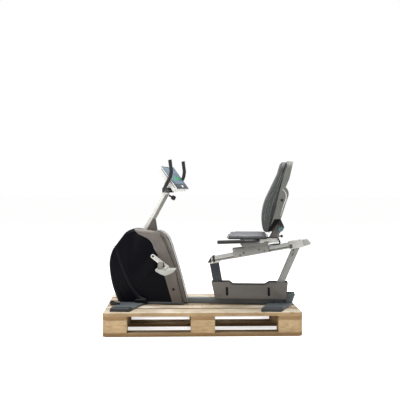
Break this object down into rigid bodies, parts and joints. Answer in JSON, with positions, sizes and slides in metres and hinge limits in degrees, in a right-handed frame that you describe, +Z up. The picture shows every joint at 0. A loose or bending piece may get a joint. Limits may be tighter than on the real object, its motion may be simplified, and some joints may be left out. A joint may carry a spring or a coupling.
{
  "type": "stationary recumbent exercise bike on a shipping pallet",
  "caption": "Stationary recumbent exercise bike with a sliding reclining seat, turning cranks and a swivelling console, standing on a wooden pallet.",
  "frame": {"origin": "on the floor below the middle plane of the bike, inside the underside of the middle bottom board of the pallet", "axes": "+X to the rear of the bike, +Y to the right side of the bike, +Z up; the pallet is turned 6 degrees about +Z"},
  "size_m": [1.3423, 0.9168, 1.0679],
  "materials": {
    "black_foam": "closed-cell foam grip",
    "black_paint": "satin powder coat",
    "black_plastic": "moulded, fine grain",
    "black_rubber": "moulded",
    "box_paint": "satin powder coat",
    "cushion_vinyl": "soft vinyl over foam",
    "dark_paint": "satin powder coat",
    "gloss_black_plastic": "semi-gloss moulded cover",
    "light_grey_paint": "satin powder coat",
    "light_grey_plastic": "moulded",
    "pine": "rough sawn softwood",
    "plain_iron": "plain",
    "polished_aluminium": "brushed cast arm",
    "rail_aluminium": "anodised extrusion",
    "screen_blue": "clear window over a pale display",
    "silver_paint": "satin powder coat",
    "slate_paint": "satin powder coat",
    "taupe_plastic": "moulded, fine grain",
    "teal_plastic": "moulded knob",
    "white_plastic": "moulded"
  },
  "bodies": {
    "frame": {"base_box": "box_paint", "clamp_knob": "black_plastic", "flywheel_drive_block": "plain_iron", "foot_end_caps": "black_plastic", "foot_pads": "black_rubber", "front_post": "dark_paint", "front_stabilizer": "slate_paint", "housing_cover_left": "gloss_black_plastic", "housing_cover_right": "gloss_black_plastic", "housing_shell_left": "taupe_plastic", "housing_shell_right": "taupe_plastic", "housing_spine": "light_grey_paint", "lift_handle": "slate_paint", "main_beam": "slate_paint", "mast_boot": "taupe_plastic", "mast_collar": "black_plastic", "mast_tube": "light_grey_paint", "pallet_blocks": "pine", "pallet_bottom_boards": "pine", "pallet_deck_boards": "pine", "pallet_stringer_boards": "pine", "rail_end_caps": "black_plastic", "rail_sleeve": "light_grey_paint", "rail_stop": "black_plastic", "rear_post": "light_grey_paint", "rear_stabilizer": "slate_paint", "seat_rail": "rail_aluminium", "slot_plugs": "black_plastic", "wheel_brackets": "black_paint"},
    "head": {"head_hub": "light_grey_paint", "handlebar": "black_paint", "handlebar_grips": "black_foam", "console_shell": "white_plastic", "console_screen": "screen_blue", "console_arm": "light_grey_paint"},
    "crank": {"crank_set": "polished_aluminium"},
    "pedal_left": {"pedal_body_left": "light_grey_plastic", "pedal_strap_left": "light_grey_plastic"},
    "pedal_right": {"pedal_body_right": "light_grey_plastic", "pedal_strap_right": "light_grey_plastic"},
    "transport_wheel_left": {"transport_wheel_left": "black_rubber"},
    "transport_wheel_right": {"transport_wheel_right": "black_rubber"},
    "carriage": {"carriage_box": "silver_paint", "carriage_glides": "black_plastic", "seat_frame": "silver_paint", "seat_side_brackets": "light_grey_paint", "slide_lever": "black_plastic", "seat_pan": "black_plastic", "seat_cushion": "cushion_vinyl", "side_handles": "black_paint", "side_grips": "black_foam", "hinge_plates": "silver_paint", "recline_pin": "teal_plastic", "ball_knob": "black_plastic"},
    "backrest": {"back_cushion": "cushion_vinyl", "back_shell": "taupe_plastic", "back_arms": "dark_paint"}
  },
  "joints": [
    {"name": "crank_spin", "type": "hinge", "parent": "frame", "child": "crank", "pos_m": [-0.295, 0, 0.456], "axis": [0, 1, 0], "continuous": true},
    {"name": "pedal_left_spin", "type": "hinge", "parent": "crank", "child": "pedal_left", "pos_m": [-0.20438, -0.18, 0.3852], "axis": [0, 1, 0], "continuous": true},
    {"name": "pedal_right_spin", "type": "hinge", "parent": "crank", "child": "pedal_right", "pos_m": [-0.38562, 0.18, 0.5268], "axis": [0, 1, 0], "continuous": true},
    {"name": "transport_wheel_left_spin", "type": "hinge", "parent": "frame", "child": "transport_wheel_left", "pos_m": [-0.545, -0.175, 0.165], "axis": [0, 1, 0], "continuous": true},
    {"name": "transport_wheel_right_spin", "type": "hinge", "parent": "frame", "child": "transport_wheel_right", "pos_m": [-0.545, 0.175, 0.165], "axis": [0, 1, 0], "continuous": true},
    {"name": "head_swivel", "type": "hinge", "parent": "frame", "child": "head", "pos_m": [-0.22658, 0, 0.86], "axis": [0, 0, 1], "range_deg": [-25, 45]},
    {"name": "seat_slide", "type": "slide", "parent": "frame", "child": "carriage", "axis": [0.9829, 0, 0.1839], "range_m": [-0.115, 0.115]},
    {"name": "back_recline", "type": "hinge", "parent": "carriage", "child": "backrest", "pos_m": [0.512, 0, 0.62866], "axis": [0, 1, 0], "range_deg": [0, 25]}
  ]
}
